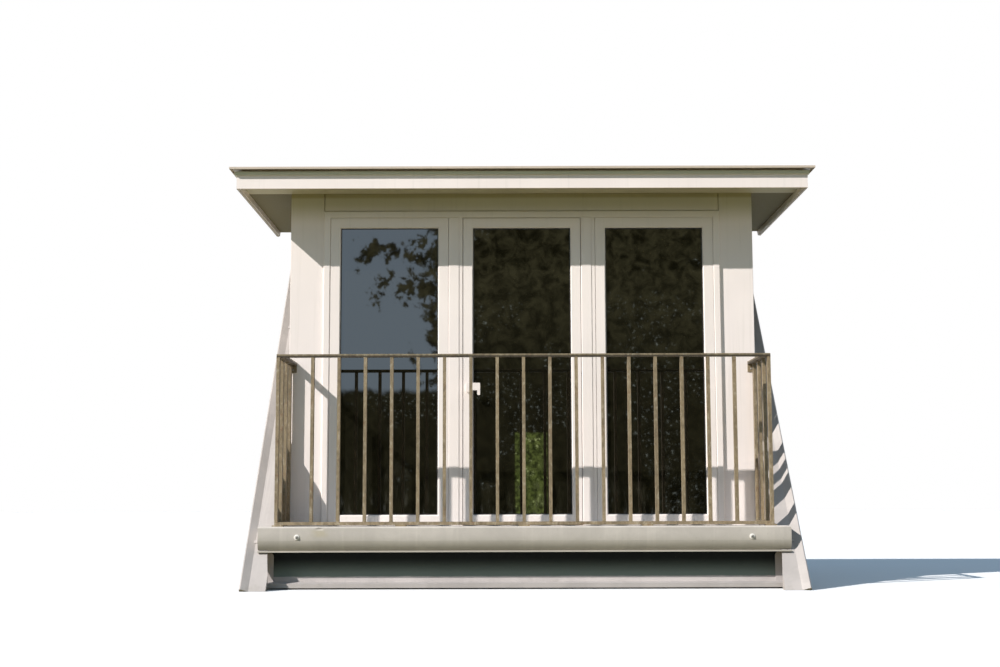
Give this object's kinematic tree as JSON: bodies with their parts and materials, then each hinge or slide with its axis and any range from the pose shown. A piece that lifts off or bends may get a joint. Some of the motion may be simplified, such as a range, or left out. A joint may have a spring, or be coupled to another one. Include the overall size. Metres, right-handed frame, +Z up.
{
  "type": "dormer window",
  "caption": "Flat-roofed dormer in white boards, its tall glazed doors behind a flat-bar steel railing on a rounded metal ledge, set on kerbs in a steep roof.",
  "frame": {"origin": "The middle of the foot plate's underside, which rests on the head of the house wall.", "axes": "+X runs along the front to the right as seen from outside, +Y into the house, +Z up."},
  "size_m": [3.844, 2.4598, 2.8469],
  "materials": {
    "white_frame": "satin",
    "white_board": "satin",
    "trim_white": "satin",
    "handle_white": "gloss",
    "timber": "matte",
    "lining": "matte",
    "roof_membrane": "matte",
    "flashing_zinc": "satin",
    "deck_sheet": "matte",
    "ledge_zinc": "satin",
    "rail_steel": "matte",
    "door_glass": "gloss"
  },
  "bodies": {
    "root": {"left_jamb": "white_frame", "right_jamb": "white_frame", "left_mullion": "white_frame", "right_mullion": "white_frame", "frame_head": "white_frame", "left_door_sash": "white_frame", "middle_door_sash": "white_frame", "right_door_sash": "white_frame", "left_corner_board": "white_board", "right_corner_board": "white_board", "head_board": "white_board", "left_cheek_cladding": "white_board", "right_cheek_cladding": "white_board", "roof_deck": "white_board", "soffit_front": "white_board", "left_soffit": "white_board", "right_soffit": "white_board", "fascia_front": "white_board", "left_fascia": "white_board", "right_fascia": "white_board", "left_side_wall": "white_board", "right_side_wall": "white_board", "apron_panel": "white_board", "apron_sill": "white_board", "left_apron_return": "white_board", "right_apron_return": "white_board", "edge_trim_front": "trim_white", "left_edge_trim": "trim_white", "right_edge_trim": "trim_white", "door_handle": "handle_white", "left_corner_post": "timber", "right_corner_post": "timber", "lintel": "timber", "left_cheek": "timber", "right_cheek": "timber", "roof_panel": "timber", "left_kerb": "timber", "right_kerb": "timber", "head_kerb": "timber", "sill_beam": "timber", "foot_plate": "timber", "foot_frame": "timber", "ceiling_lining": "lining", "roof_sheet": "roof_membrane", "back_flashing": "flashing_zinc", "left_side_flashing": "flashing_zinc", "right_side_flashing": "flashing_zinc", "door_threshold": "flashing_zinc", "balcony_deck": "deck_sheet", "ledge_nose": "ledge_zinc", "railing_front": "rail_steel", "left_railing": "rail_steel", "right_railing": "rail_steel", "left_door_glass": "door_glass", "middle_door_glass": "door_glass", "right_door_glass": "door_glass"}
  },
  "joints": []
}
